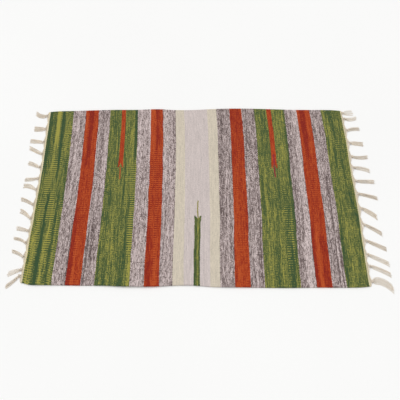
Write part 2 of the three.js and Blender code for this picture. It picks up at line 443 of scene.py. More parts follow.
def yarn_faces(first, rings):
    """The faces of a yarn whose points are counted from first, with the caps' middles at the end."""
    ring, spot = np.meshgrid(np.arange(rings - 1), np.arange(SECTION_POINTS), indexing="ij")
    here = first + ring * SECTION_POINTS + spot
    beside = first + ring * SECTION_POINTS + (spot + 1) % SECTION_POINTS
    quads = np.stack([here, beside, beside + SECTION_POINTS, here + SECTION_POINTS], axis=-1)
    middle = first + rings * SECTION_POINTS
    rim = first + np.arange(SECTION_POINTS)
    start_cap = np.stack([np.roll(rim, -1), rim, np.full(SECTION_POINTS, middle)], axis=1)
    rim = rim + (rings - 1) * SECTION_POINTS
    end_cap = np.stack([rim, np.roll(rim, -1), np.full(SECTION_POINTS, middle + 1)], axis=1)
    return quads.reshape(-1, 4).tolist() + start_cap.tolist() + end_cap.tolist()


def yarn_map(rings):
    """Where each corner lies along and around the yarn, with the corners of both caps at nought."""
    found = []
    for ring in range(rings - 1):
        low, high = ring * RING_STEP / STOCK_LENGTH, (ring + 1) * RING_STEP / STOCK_LENGTH
        for spot in range(SECTION_POINTS):
            left, right = spot / SECTION_POINTS, (spot + 1) / SECTION_POINTS
            found += [(low, left), (low, right), (high, right), (high, left)]
    return found + [(0.0, 0.0)] * (2 * 3 * SECTION_POINTS)


print("a yarn is", 2 * YARN_RADIUS, "mm thick")

# %% [markdown]
# The yarns of a fringe are gathered in one mesh, as a hank. Each keeps a number of its own, its
# tint, because no two cotton yarns have quite the same shade.

# %% Gather yarns in a hank
UP = np.array([0, 0, 1.0])


class Hank:
    """Many yarns on their way into one mesh."""

    def __init__(self, name):
        self.name = name
        self.points, self.faces, self.maps, self.tints = [], [], [], []

    def add(self, route, tint, start_ring=0, thickness=1.0):
        centre, heading = along_route(route, RING_STEP * MM)
        sideways = np.cross(UP, heading)
        sideways /= np.linalg.norm(sideways, axis=1, keepdims=True)
        upwards = np.cross(heading, sideways)
        rings = len(centre)
        section = thickness * sections[start_ring:start_ring + rings]
        outward = section[..., :1] * sideways[:, None] + section[..., 1:] * upwards[:, None]
        tube = (centre[:, None] + outward).reshape(-1, 3)
        self.faces += yarn_faces(len(self.tints), rings)
        self.maps += yarn_map(rings)
        self.points += [tube, centre[[0, -1]]]
        self.tints += [tint] * (len(tube) + 2)

    def mesh_object(self):
        mesh = bpy.data.meshes.new(self.name)
        mesh.from_pydata(np.concatenate(self.points), [], self.faces)
        mesh.polygons.foreach_set("use_smooth", np.ones(len(mesh.polygons), bool))
        layer = mesh.uv_layers.new(name="yarn")
        layer.uv.foreach_set("vector", np.array(self.maps, np.float32).ravel())
        tint = mesh.attributes.new("tint", "FLOAT", "POINT")
        tint.data.foreach_set("value", np.array(self.tints, np.float32))
        made = bpy.data.objects.new(self.name, mesh)
        bpy.context.scene.collection.objects.link(made)
        mesh.validate()
        return made


print("stock for a yarn of up to", STOCK_LENGTH, "mm")

# %% [markdown]
# ## The tassels
# Each tassel is one row: the place of its knot across the cloth, how far the knot and the cut ends
# stand out from the cloth's end, how far the ends lean towards the far side, how much the middle
# bows that way, and how wide the ends spread, all in millimetres. The rows run from the near corner
# to the far one. The solids have the same knots and the same reach, and only the spread is a little
# wider here, since loose yarns lie more apart than the few thick strands that stand for them.

# %% List the tassels
LEFT_TASSELS = [
    (-277, 10.0, 42, -33, -2, 14),
    (-259, 9.5, 43, -14, 1, 14),
    (-219, 10.0, 43, 17, 3, 10),
    (-175, 10.0, 45, 14, 3, 9),
    (-137, 9.5, 43, 8, 1, 13),
    (-96, 9.5, 42, 26, 3, 15),
    (-50, 9.5, 47, 20, 2, 12),
    (2, 9.5, 47, 13, 5, 15),
    (41, 9.5, 47, -4, -1, 13),
    (82, 10.0, 46, 16, 2, 15),
    (132, 9.5, 49, 24, 0, 15),
    (176, 9.5, 50, 5, 1, 15),
    (228, 9.5, 44, 1, 0, 20),
    (281, 11.0, 45, 13, -6, 18),
]
RIGHT_TASSELS = [
    (-283, 10.0, 63, -25, 11, 24),
    (-239, 11.0, 64, -28, 3, 14),
    (-205, 11.0, 64, -29, 1, 14),
    (-163, 12.5, 63, -26, 1, 14),
    (-112, 12.5, 58, -30, 2, 14),
    (-60, 12.5, 52, -30, 3, 18),
    (-11, 12.5, 63, -16, 2, 11),
    (34, 11.0, 64, -3, 0, 13),
    (81, 12.5, 58, -13, 3, 14),
    (121, 11.0, 58, 0, -3, 12),
    (172, 12.5, 52, -5, 1, 16),
    (221, 11.0, 50, 5, 3, 13),
    (266, 10.0, 48, 5, -4, 14),
    (289, 10.0, 41, 2, 0, 21),
]


def beyond_end(side, across, out):
    """A place out from one end of the cloth, with across measured from the middle of that end."""
    x, y = in_plan(*end_pick(side), across / (CLOTH_WIDTH / MM) + 0.5)
    return x + side * out * MM, y


def limits_of(tassels):
    places = [tassel[0] for tassel in tassels]
    halfway = [(low + high) / 2 for low, high in zip(places, places[1:])]
    edge = CLOTH_WIDTH / MM / 2
    return [-edge, *halfway, edge]


print("tassels:", len(LEFT_TASSELS), "on the left,", len(RIGHT_TASSELS), "on the right")

# %% [markdown]
# Every warp is one yarn from the cloth to its cut end. It leaves the band, runs sideways along it to
# its bunch, and then curves out into the knot, where the yarns stand close together in a bundle. A
# fat rib of the selvedge holds two warps.

# %% Lead each warp to its knot
OUT_FROM_BAND = 2.2
WARP_HEIGHT = 1.3
TURN_OUT = 1.9
TURN_RUN = 1.5
GATHER_CURVE = 2.2
GATHER_POINTS = 14
KNOT_MIDDLE = 3.3
DOUBLED_WARPS = (1.4, 2.6, 5.4, 6.6)


def warp_places():
    """Where the warps stand across the cloth, measured from its middle."""
    edge = CLOTH_WIDTH / MM / 2
    doubled = [edge - inward for inward in DOUBLED_WARPS]
    field = -edge + SELVEDGE_WIDTH + (np.arange(FIELD_RIBS) + 0.5) * rib_pitch
    return np.array(sorted([*doubled, *field, *(-place for place in doubled)]))


def gather_route(tassel, place, bundle):
    at, knot = tassel[:2]
    share = np.linspace(0, 1, GATHER_POINTS)
    across = place + (at - place) * share
    turned = BAND_WIDTH + TURN_OUT * (1 - np.exp(-abs(across - place) / TURN_RUN))
    out = turned + (knot - turned) * share ** GATHER_CURVE
    height = WARP_HEIGHT + (KNOT_MIDDLE - WARP_HEIGHT) * share ** 2
    squeezed = share[:, None] ** 2 * bundle
    start = [[OUT_FROM_BAND, place, WARP_HEIGHT]]
    gathered = np.stack([out, across + squeezed[:, 0], height + squeezed[:, 1]], axis=1)
    return np.vstack([start, gathered])


warps = warp_places()
print("warps at each end:", len(warps))

# %% [markdown]
# Behind the knot the yarns fall to the floor. Yarns that come from further off lie further out, so
# they fan and don't cross. They lie in two layers, or in one where the tassel is spread wide, each
# with a small wave of its own, and no two are cut at quite the same length. The tassel has most of
# its width right behind the knot, and the root share says how much.

# %% Let each warp fall behind its knot
ROOT_SHARE = 0.85
TRIM = 4.0
TASSEL_POINTS = 26
WAVE_SIZE = 0.55
WAVE_COUNTS = (0.8, 1.6)
TUCK_RUN = 3.5
LAYER_STEP = 1.05
UNEVENNESS = 0.12
random = np.random.default_rng(7)


def tassel_route(tassel, order, count, bundle, layers):
    at, knot, reach, lean, bend, spread = tassel
    cut = reach - TRIM * random.random()
    run = np.linspace(0, 1, TASSEL_POINTS)[1:] * (cut - knot) / (reach - knot)
    middle = at + lean * run + bend * 4 * run * (1 - run)
    fan = (order / (count - 1) - 0.5) * spread * (ROOT_SHARE + (1 - ROOT_SHARE) * run)
    turns = run * random.uniform(*WAVE_COUNTS) + random.random()
    wave = WAVE_SIZE * run * np.sin(2 * np.pi * turns)
    tucked = np.exp(-run * (reach - knot) / TUCK_RUN)
    layer = YARN_RADIUS + (order % layers) * LAYER_STEP
    rest = layer + UNEVENNESS * random.random()
    height = rest + (KNOT_MIDDLE + bundle[1] - rest) * tucked
    across = middle + (fan + wave) * (1 - tucked) + bundle[0] * tucked
    return np.stack([knot + run * (reach - knot), across, height], axis=1)


print("trimmed by up to", TRIM, "mm")

# %% [markdown]
# The knot is an overhand knot tied in the whole bunch. From outside it shows as four yarns side by
# side that wrap once round the bunch and slip back under themselves, so those four are modelled
# and the inside is left out. Each knot starts at another angle, as hand-tied ones do.

# %% Find the route of the yarns that wrap a knot
WRAP_YARNS = 4
WRAP_PITCH = 1.2
WRAP_TURNS = 1.35
WRAP_TRAVEL = 3.4
WRAP_POINTS = 40
KNOT_WIDTH = 8.6
KNOT_HEIGHT = 6.6
SNUG_END = 0.45
DIVE_RISE = 5


def wrap_route(tassel, yarn, start_angle):
    at, knot = tassel[:2]
    share = np.linspace(0, 1, WRAP_POINTS)
    angle = start_angle + 2 * np.pi * WRAP_TURNS * share
    dive = between_ends(share, DIVE_RISE)
    snug = SNUG_END + (1 - SNUG_END) * np.sin(dive * np.pi / 2)
    out = knot + (yarn - (WRAP_YARNS - 1) / 2) * WRAP_PITCH + (share - 0.5) * WRAP_TRAVEL
    across = at + snug * (KNOT_WIDTH / 2 - YARN_RADIUS) * np.sin(angle)
    height = KNOT_HEIGHT / 2 + snug * (KNOT_HEIGHT / 2 - YARN_RADIUS) * np.cos(angle)
    return np.stack([out, across, height], axis=1)


print("yarns round a knot:", WRAP_YARNS)

# %% [markdown]
# A tassel takes the warps that stand nearest to its knot. In the knot they are packed as seeds are
# in a sunflower, each a golden angle on from the last, which fills a round bundle evenly. Two rounds
# of smoothing take the corners out of each route before the yarn is bent along it.

# %% Make both fringes
BUNDLE_RADIUS = 1.7
GOLDEN_ANGLE = 2.4
WIDE_SPREAD = 14
START_RINGS = 8
THICKNESSES = (0.9, 1.05)
SMOOTHINGS = 2


def smoothed(route):
    for _ in range(SMOOTHINGS):
        route[1:-1] = (route[:-2] + 2 * route[1:-1] + route[2:]) / 4
    return route


def on_floor_plan(side, route):
    out, across, height = route.T
    x, y = beyond_end(side, across, out)
    return np.stack([x, y, height * MM], axis=1)


def fringe(side, tassels, name):
    hank = Hank(name)
    limits = limits_of(tassels)
    for tassel, low, high in zip(tassels, limits, limits[1:]):
        bunch = warps[(warps >= low) & (warps < high)]
        layers = 1 if tassel[-1] > WIDE_SPREAD else 2
        for order, place in enumerate(bunch):
            radius = BUNDLE_RADIUS * np.sqrt((order + 0.5) / len(bunch))
            angle = GOLDEN_ANGLE * order
            bundle = radius * np.array([np.cos(angle), np.sin(angle)])
            inner = gather_route(tassel, place, bundle)
            outer = tassel_route(tassel, order, len(bunch), bundle, layers)
            route = on_floor_plan(side, smoothed(np.vstack([inner, outer])))
            tint = random.random()
            start_ring = int(random.integers(0, START_RINGS))
            hank.add(route, tint, start_ring, random.uniform(*THICKNESSES))
        start_angle = random.uniform(0, 2 * np.pi)
        for yarn in range(WRAP_YARNS):
            route = on_floor_plan(side, wrap_route(tassel, yarn, start_angle))
            hank.add(route, random.random())
    return hank.mesh_object()


fringes = {}
for side, tassels, word in ((LEFT, LEFT_TASSELS, "left"), (RIGHT, RIGHT_TASSELS, "right")):
    made = fringe(side, tassels, f"tassels_{word}")
    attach(made, "root")
    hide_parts(f"fringe_{word}")
    fringes[word] = made
    print(made.name, "faces:", len(made.data.polygons))

# %% [markdown]
# ## Wiring a finish
# A finish is a tree of shader nodes. The small class below keeps the wiring short: it adds a node,
# feeds each of its sockets with a number or with another node's output, and hands back the result.

# %% Make the wiring helper
FIRST_COLOUR, SECOND_COLOUR, MIXED_COLOUR = 6, 7, 2


class Wires:
    """The nodes of one tree, and the wires between them."""

    def __init__(self, tree):
        self.tree = tree

    def add(self, kind, **settings):
        node = self.tree.nodes.new("ShaderNode" + kind)
        for name, value in settings.items():
            setattr(node, name, value)
        return node

    def feed(self, socket, value):
        if isinstance(value, bpy.types.NodeSocket):
            self.tree.links.new(value, socket)
        else:
            socket.default_value = value

    def calc(self, operation, *values):
        node = self.add("Math", operation=operation)
        for socket, value in zip(node.inputs, values):
            self.feed(socket, value)
        return node.outputs[0]

    def scaled(self, value, size):
        return self.calc("MULTIPLY", value, 1 / size)

    def mix(self, factor, first, second):
        node = self.add("Mix", data_type="RGBA")
        self.feed(node.inputs[0], factor)
        self.feed(node.inputs[FIRST_COLOUR], first)
        self.feed(node.inputs[SECOND_COLOUR], second)
        return node.outputs[MIXED_COLOUR]

    def vector(self, *values):
        node = self.add("CombineXYZ")
        for socket, value in zip(node.inputs, values):
            self.feed(socket, value)
        return node.outputs[0]

    def noise(self, x, y, seed, detail=0.0):
        node = self.add("TexNoise")
        self.feed(node.inputs["Vector"], self.vector(x, y, seed))
        self.feed(node.inputs["Scale"], 1.0)
        self.feed(node.inputs["Detail"], detail)
        return self.calc("SUBTRACT", node.outputs[0], 0.5)

    def rise(self, value, low, high):
        """0 below low, 1 above high and a soft slope between; low may be the greater one.

        The slope needs no clamp. Without it Cycles works through the streaks one by one, while a
        clamp on each would make it keep them all at once, and it has no room for so many.
        """
        node = self.add("MapRange", interpolation_type="SMOOTHSTEP", clamp=False)
        for name, number in (("Value", value), ("From Min", low), ("From Max", high)):
            self.feed(node.inputs[name], number)
        return node.outputs[0]

    def ramp(self, value, stops):
        node = self.add("ValToRGB")
        elements = node.color_ramp.elements
        while len(elements) < len(stops):
            elements.new(0.5)
        for element, (place, colour) in zip(elements, stops):
            element.position = place
            element.color = colour
        self.feed(node.inputs[0], value)
        return node.outputs[0]

    def group(self, name, **values):
        node = self.add("Group", node_tree=bpy.data.node_groups[name])
        for socket, value in values.items():
            self.feed(node.inputs[socket], value)
        return node.outputs

print("helpers of the class:", [name for name in vars(Wires) if not name.startswith("_")])

# %% [markdown]
# What several materials share is built once, as a group with named inputs and outputs. Colours are
# written as they look on a screen, and one function turns them into what a shader takes.

# %% Make groups and dyes
def node_group(name, inputs, outputs):
    tree = bpy.data.node_groups.new(name, "ShaderNodeTree")
    for way, sockets in (("INPUT", inputs), ("OUTPUT", outputs)):
        for socket in sockets:
            tree.interface.new_socket(socket, in_out=way, socket_type="NodeSocketFloat")
    given = tree.nodes.new("NodeGroupInput").outputs
    result = tree.nodes.new("NodeGroupOutput").inputs
    return Wires(tree), given, result


def dyed(red, green, blue):
    """A colour as seen on a screen, from 0 to 255, as the linear numbers that a shader takes."""
    screen = np.array([red, green, blue]) / 255
    linear = np.where(screen < 0.04045, screen / 12.92, ((screen + 0.055) / 1.055) ** 2.4)
    return (*(float(value) for value in linear), 1.0)


print("cream on the shader:", [round(value, 3) for value in dyed(205, 198, 175)])

# %% [markdown]
# ## One bead of weft
# In a weft-faced cloth each pick shows as a row of beads, one over every second warp, and the next
# pick shows over the warps between. This group turns the weave map into beads: how far along and
# across the cloth the middle of the bead is, whether its warp is even or odd, and how high the yarn
# stands at this point. A slow noise bends the picks first, since no pick lies quite straight.

# %% Build the group that finds the bead
BEAD = 1.15
STRAY = 3.0
STRAY_ALONG = 90
STRAY_ACROSS = 55

bead_outputs = ["Along", "Depth", "Odd", "Relief"]
wires, given, result = node_group("Weft bead", ["Woven", "Warps"], bead_outputs)
along = wires.calc("MULTIPLY_ADD", given["Woven"], WOVEN_SPAN, -WOVEN_SPAN / 2)
across = wires.calc("MULTIPLY", given["Warps"], CLOTH_WIDTH / MM)
stray_at = (wires.scaled(along, STRAY_ALONG), wires.scaled(across, STRAY_ACROSS))
stray = wires.noise(*stray_at, seed=3.0, detail=1.0)
along = wires.calc("MULTIPLY_ADD", stray, STRAY, along)
warp = wires.calc("MULTIPLY", given["Warps"], RIBS)
number = wires.calc("FLOOR", warp)
odd = wires.calc("FLOORED_MODULO", number, 2)
half = wires.calc("MULTIPLY", odd, 0.5)
beads = wires.calc("MULTIPLY_ADD", along, 1 / BEAD, half)
whole = wires.calc("FLOOR", beads)
middle = wires.calc("MULTIPLY", wires.calc("SUBTRACT", wires.calc("ADD", whole, 0.5), half), BEAD)
pick_arch = wires.calc("SINE", wires.calc("MULTIPLY", wires.calc("FRACT", beads), np.pi))
warp_arch = wires.calc("SINE", wires.calc("MULTIPLY", wires.calc("FRACT", warp), np.pi))
from_far = wires.calc("SUBTRACT", RIBS - 0.5, number)
wires.feed(result["Along"], middle)
wires.feed(result["Depth"], wires.calc("MULTIPLY", from_far, CLOTH_WIDTH / MM / RIBS))
wires.feed(result["Odd"], odd)
wires.feed(result["Relief"], wires.calc("MULTIPLY", pick_arch, wires.calc("SQRT", warp_arch)))
print("beads across one warp, per cm:", round(10 / BEAD, 1))

# %% [markdown]
# ## The dyes
# The green and the red weft were dyed unevenly on purpose, light and dark along the same yarn. Where
# several picks in a row share a shade, a streak forms. One group paints one streak, with soft edges
# and softer ends, and it can be placed again and again with other numbers.

# %% Build the group that paints one streak
SOFT_END = 22.0
EDGE_FOOT = 1.2
EDGE_CREST = 0.75

streak_sizes = ["Place", "Half", "Start", "End", "Shade"]
wires, given, result = node_group("Dye streak", ["Along", "Depth", *streak_sizes], ["Shade"])
aside = wires.calc("ABSOLUTE", wires.calc("SUBTRACT", given["Along"], given["Place"]))
outer = wires.calc("MULTIPLY", given["Half"], EDGE_FOOT)
inner = wires.calc("MULTIPLY", given["Half"], EDGE_CREST)
within = wires.rise(aside, outer, inner)
begun = wires.rise(
    given["Depth"],
    wires.calc("SUBTRACT", given["Start"], SOFT_END),
    wires.calc("ADD", given["Start"], SOFT_END),
)
unended = wires.rise(
    given["Depth"],
    wires.calc("ADD", given["End"], SOFT_END),
    wires.calc("SUBTRACT", given["End"], SOFT_END),
)
amount = wires.calc("MULTIPLY", wires.calc("MULTIPLY", within, begun), unended)
wires.feed(result["Shade"], wires.calc("MULTIPLY", amount, given["Shade"]))
print("a streak fades over", 2 * SOFT_END, "mm")

# %% [markdown]
# The streaks that stand out are listed: the place along the cloth, half the width, where the streak
# starts and ends below the far selvedge, and how much it lightens or darkens. Where light and dark
# picks take turns, the beads make a ladder of short dashes instead, and those are listed in the same
# way. The grey marl has fainter streaks of the same kind. The smaller ones are left to noise.

# %% List the streaks and the ladders of dashes
STREAKS = [
    # place, half width, start, end, shade
    (-441, 5, -40, 250, -0.45),
    (-428, 4, -40, 200, -0.12),
    (-417, 5, -40, 140, 0.80),
    (-420, 3, 110, 260, 0.35),
    (-403, 4, -40, 270, -0.55),
    (-389, 7, 20, 170, 0.12),
    (-378, 3, 170, 330, -0.25),
    (-436, 5, 390, 640, 0.28),
    (-419, 4, 325, 640, -0.55),
    (-423, 5, 480, 640, -0.20),
    (-402, 3, 345, 470, 0.32),
    (-407, 4, 450, 640, 0.42),
    (-390, 3, 290, 640, -0.30),
    (-383, 3, 400, 640, 0.15),
    (-242, 9, -40, 90, -0.15),
    (-233, 3, 90, 215, -0.25),
    (-192, 6, 50, 190, 0.25),
    (-180, 4, -40, 185, -0.60),
    (-208, 3, 205, 340, -0.35),
    (-202, 4, 215, 370, 0.18),
    (-247, 3, 260, 400, -0.35),
    (-194, 4, 330, 560, -0.35),
    (-202, 4, 510, 640, -0.40),
    (-214, 3, 380, 490, -0.22),
    (-258, 3, 470, 640, -0.30),
    (-242, 3, 530, 640, -0.35),
    (-232, 5, 370, 640, 0.25),
    (-181, 4, 430, 640, 0.45),
    (200, 10, -40, 160, -0.15),
    (185, 4, 220, 380, -0.22),
    (246, 12, -40, 200, 0.12),
    (262, 3, 20, 220, 0.25),
    (266, 4, 60, 520, -0.36),
    (194, 3, 240, 560, 0.28),
    (202, 3, 360, 510, 0.22),
    (230, 3, 240, 330, -0.32),
    (249, 9, 310, 520, -0.28),
    (230, 6, 400, 570, 0.22),
    (216, 6, 500, 640, -0.22),
    (196, 7, 540, 640, 0.18),
    (254, 6, 505, 640, -0.62),
    (389, 3, -40, 80, 0.25),
    (410, 6, -40, 100, -0.32),
    (399, 4, 100, 180, 0.30),
    (406, 3, 150, 260, -0.30),
    (424, 4, 170, 260, -0.28),
    (432, 5, 290, 380, -0.32),
    (439, 4, 365, 430, -0.32),
    (442, 2, 420, 500, -0.30),
    (444, 2, 90, 350, 0.22),
    (390, 3, 390, 640, -0.38),
    (411, 10, 380, 570, 0.15),
    (396, 3, 480, 540, -0.22),
    (-319, 6, -40, 200, -0.55),
    (-332, 4, -40, 150, 0.22),
    (-306, 4, -40, 320, 0.15),
    (-333, 7, 390, 640, -0.42),
    (-321, 4, 470, 640, 0.40),
    (-309, 5, 330, 640, 0.12),
    (-132, 9, -40, 200, 0.35),
    (-115, 5, -40, 160, -0.50),
    (-129, 7, 430, 640, -0.34),
    (-112, 5, 450, 640, 0.34),
    (120, 19, -40, 200, -0.20),
    (109, 7, 260, 640, 0.22),
    (123, 10, 420, 640, 0.10),
    (324, 7, -40, 180, -0.52),
    (339, 5, -40, 150, 0.28),
    (312, 4, -40, 130, 0.15),
    (312, 4, 400, 640, -0.55),
    (338, 7, 440, 640, -0.36),
    (324, 4, 400, 640, 0.36),
    (-357, 3, -40, 330, 0.22),
    (-346, 3, 440, 640, -0.12),
    (-366, 3, 130, 300, -0.12),
    (-284, 6, -40, 210, -0.20),
    (-282, 4, 350, 530, -0.34),
    (-293, 3, 420, 600, -0.28),
    (-270, 4, 100, 330, 0.18),
    (-167, 3, -40, 250, 0.18),
    (-155, 4, 430, 640, 0.14),
    (-146, 3, 130, 330, -0.14),
    (-92, 4, -40, 250, 0.16),
    (-68, 2, -40, 250, -0.25),
    (-88, 3, 290, 470, -0.18),
    (73, 4, 30, 160, -0.22),
    (70, 6, 150, 400, -0.12),
    (85, 3, 300, 560, 0.18),
    (150, 5, 60, 200, -0.15),
    (158, 3, 430, 640, 0.18),
    (172, 2, 330, 640, -0.28),
    (277, 5, 20, 640, -0.18),
    (300, 8, -40, 640, 0.20),
    (288, 3, 350, 480, -0.22),
    (292, 3, 490, 640, 0.25),
    (357, 5, 180, 400, 0.15),
    (371, 2, 270, 600, -0.42),
    (375, 2, 350, 600, 0.28),
    (381, 2, 400, 600, -0.25),
]
LADDERS = [
    # place, half width, start, end, strength
    (-417, 22, 170, 330, 0.5),
    (-404, 12, 330, 500, 0.5),
    (-430, 10, 330, 450, 0.4),
    (-182, 8, 180, 500, 0.9),
    (-198, 8, 180, 330, 0.4),
    (252, 11, 330, 540, 0.7),
    (418, 8, 90, 200, 0.6),
    (-130, 3, 150, 420, 1.2),
    (-122, 3, 120, 330, 1.4),
    (-114, 3, 200, 560, 1.2),
    (-105, 3, 140, 400, 1.2),
    (-318, 12, 330, 640, 0.4),
    (329, 11, 180, 420, 0.4),
]
print("streaks:", len(STREAKS), "ladders:", len(LADDERS))

# %% [markdown]
# ## The forked bars
# Three narrow bars reach into the cloth from a selvedge: two red ones from the far side and a green
# one from the near side. Each ends in two short prongs that lean outwards, with a thin line running
# on between them. The weaver turned the bar's yarn back one warp later with each pick, so the fork
# has stepped edges. The group measures how far a bead is from the bar's middle line, and how far it
# is along the fork. It puts out one mask for the bar, one for its line, and how far aside of the
# middle the bead lies.

# %% Build the group that finds a forked bar
BARS = {
    # middle at the selvedge, slant, half width, notch, prong tips, start and end of the line
    "left red": (-219.8, -0.010, 6.4, 203, 220, 217, 262),
    "right red": (222.2, 0.006, 6.8, 202, 221, 172, 252),
    "green": (-0.7, 0.008, 8.2, 199, 212, 199, 260),
}
PRONG_WIDTH = 2.8
PRONG_LEAN = 1.7
LINE_HALF = 1.75
LINE_WANDER = 4.0
LINE_CROOK = 30

bar_sizes = ["Middle", "Slant", "Half", "Notch", "Prong", "Start", "End"]
bar_inputs = ["Along", "Depth", *bar_sizes]
wires, given, result = node_group("Forked bar", bar_inputs, ["Bar", "Line", "Aside"])
centre = wires.calc("MULTIPLY_ADD", given["Depth"], given["Slant"], given["Middle"])
offset = wires.calc("SUBTRACT", given["Along"], centre)
aside = wires.calc("ABSOLUTE", offset)
prong_length = wires.calc("SUBTRACT", given["Prong"], given["Notch"])
fork = wires.calc("DIVIDE", wires.calc("SUBTRACT", given["Depth"], given["Notch"]), prong_length)
lean = wires.calc("MULTIPLY", wires.rise(fork, -1.0, 1.0), PRONG_LEAN)
outer = wires.calc("ADD", given["Half"], lean)
inner = wires.calc("MULTIPLY", fork, wires.calc("SUBTRACT", outer, PRONG_WIDTH))
inside = wires.calc("LESS_THAN", aside, outer)
outside = wires.calc("GREATER_THAN", aside, inner)
between = wires.calc("MULTIPLY", inside, outside)
wires.feed(result["Bar"], wires.calc("MULTIPLY", between, wires.calc("LESS_THAN", fork, 1)))
crooked = wires.noise(0.0, wires.scaled(given["Depth"], LINE_CROOK), seed=9.0)
wander = wires.calc("MULTIPLY", crooked, LINE_WANDER)
from_line = wires.calc("ABSOLUTE", wires.calc("ADD", offset, wander))
within = wires.calc(
    "MULTIPLY",
    wires.calc("GREATER_THAN", given["Depth"], given["Start"]),
    wires.calc("LESS_THAN", given["Depth"], given["End"]),
)
on_line = wires.calc("LESS_THAN", from_line, LINE_HALF)
wires.feed(result["Line"], wires.calc("MULTIPLY", on_line, within))
wires.feed(result["Aside"], wires.calc("DIVIDE", offset, given["Half"]))
print("bars:", list(BARS))

# %% [markdown]
# ## The weft's finish
# Everything comes together in one material. Each dye is a ramp from the darkest to the lightest
# shade that its yarn shows, and the plain yarns have one colour each.

# %% Mix the colours of the weft
GREENS = [
    (0.0, dyed(58, 82, 52)),
    (0.3, dyed(82, 95, 51)),
    (0.5, dyed(104, 112, 59)),
    (0.72, dyed(126, 130, 70)),
    (1.0, dyed(164, 158, 74)),
]
REDS = [
    (0.0, dyed(136, 34, 22)),
    (0.35, dyed(158, 50, 22)),
    (0.6, dyed(172, 63, 24)),
    (1.0, dyed(190, 84, 38)),
]
MARLS = [
    (0.15, dyed(94, 80, 78)),
    (0.42, dyed(142, 127, 124)),
    (0.6, dyed(190, 174, 171)),
    (0.85, dyed(222, 206, 204)),
]
BAND = dyed(222, 210, 176)
CREAM = dyed(213, 202, 184)
LILAC = dyed(209, 197, 193)
print("shades of green, red and marl:", len(GREENS), len(REDS), len(MARLS))

# %% [markdown]
# The material starts from the weave map. The bead group turns it into the middle of each bead, so
# that a bead has one colour all over, as a short stretch of yarn has.

# %% Start the weft's material
def new_finish(name, map_name):
    """A material with an empty tree, the tree's wires, and both coordinates of a UV map."""
    made = bpy.data.materials.new(name)
    made.use_nodes = True
    made.node_tree.nodes.clear()
    wires = Wires(made.node_tree)
    uv_map = wires.add("UVMap", uv_map=map_name)
    split = wires.add("SeparateXYZ")
    wires.feed(split.inputs[0], uv_map.outputs[0])
    return made, wires, split.outputs[X], split.outputs[Y]


weft, wires, woven_at, warp_at = new_finish("woven_weft", "weave")
bead = wires.group("Weft bead", Woven=woven_at, Warps=warp_at)
along, depth, odd = bead["Along"], bead["Depth"], bead["Odd"]
print("nodes so far:", len(weft.node_tree.nodes))

# %% [markdown]
# The shade of a bead is a sum of layers: the listed streaks, the ladders, which turn about from one
# warp to the next, and noises drawn out along the weft. A noise with one seed for odd warps and
# another for even ones changes from pick to pick. Two more noises make the listed streaks ragged,
# one at their sides and one at their ends.

# %% Add up the shade of each bead
RAGGED_SIDE = 6.0
RAGGED_END = 130.0
PICK_GROUP = 1.6
PATCH_EDGE = 0.06
NOISES = {
    # size across the picks, length along the weft, seed, its change on odd warps, detail
    "ragged": (9, 60, 11.4, 0.0, 1.0),
    "patches": (11, 60, 37.4, 0.0, 0.0),
    "streaks": (2.6, 60, 23.4, 0.4, 1.0),
    "strands": (0.9, 50, 41.4, 0.0, 0.0),
    "singles": (1.2, 13, 43.4, 0.3, 0.0),
    "turns": (1.2, 2.3, 61.4, 0.0, 0.0),
}


def weft_noise(name):
    size, length, seed, change, detail = NOISES[name]
    if change:
        seed = wires.calc("MULTIPLY_ADD", odd, change, seed)
    return wires.noise(wires.scaled(along, size), wires.scaled(depth, length), seed, detail)


def summed(table):
    total = None
    for row in table:
        sizes = dict(zip(streak_sizes, row))
        streak = wires.group("Dye streak", Along=ragged_along, Depth=ragged_depth, **sizes)["Shade"]
        total = streak if total is None else wires.calc("ADD", total, streak)
    return total


def turn_about(value):
    """The value on odd warps and its opposite on even ones, at half strength."""
    return wires.calc("MULTIPLY", wires.calc("SUBTRACT", odd, 0.5), value)


ragged_along = wires.calc("MULTIPLY_ADD", weft_noise("ragged"), RAGGED_SIDE, along)
picks_apart = wires.noise(wires.scaled(along, PICK_GROUP), y=0.5, seed=17.0)
ragged_depth = wires.calc("MULTIPLY_ADD", picks_apart, RAGGED_END, depth)
patches = wires.rise(weft_noise("patches"), -PATCH_EDGE, PATCH_EDGE)
layers = {
    "listed": summed(STREAKS),
    "ladders": turn_about(summed(LADDERS)),
    "dashes": turn_about(wires.calc("SUBTRACT", patches, 0.5)),
}
for name in ("streaks", "strands", "singles", "turns"):
    layers[name] = weft_noise(name)
print("layers of shade:", list(layers))

# %% [markdown]
# Each yarn takes a middle shade and these layers in sizes of its own, and its ramp turns the sum
# into colour. The dyed yarns take long streaks. The marl is spun from a light and a dark strand, so
# it takes mostly short noise. The plain yarns have one colour, which the noises make a little
# lighter or darker.

# %% Turn shades into yarn
def shade_of(middle_shade, **sizes):
    total = middle_shade
    for name, size in sizes.items():
        total = wires.calc("MULTIPLY_ADD", layers[name], size, total)
    return total


def dyed_yarn(middle_shade, dyes, **sizes):
    return wires.ramp(shade_of(middle_shade, **sizes), dyes)


def marl_yarn(middle_shade):
    return dyed_yarn(middle_shade, MARLS, listed=0.7, strands=0.6, singles=1.0, turns=1.0)


soft_tone = shade_of(1.0, streaks=0.1, strands=0.35, singles=0.25, turns=0.35)


def plain_yarn(base):
    toned = wires.add("VectorMath", operation="SCALE")
    wires.feed(toned.inputs[0], base[:3])
    wires.feed(toned.inputs["Scale"], soft_tone)
    return toned.outputs[0]


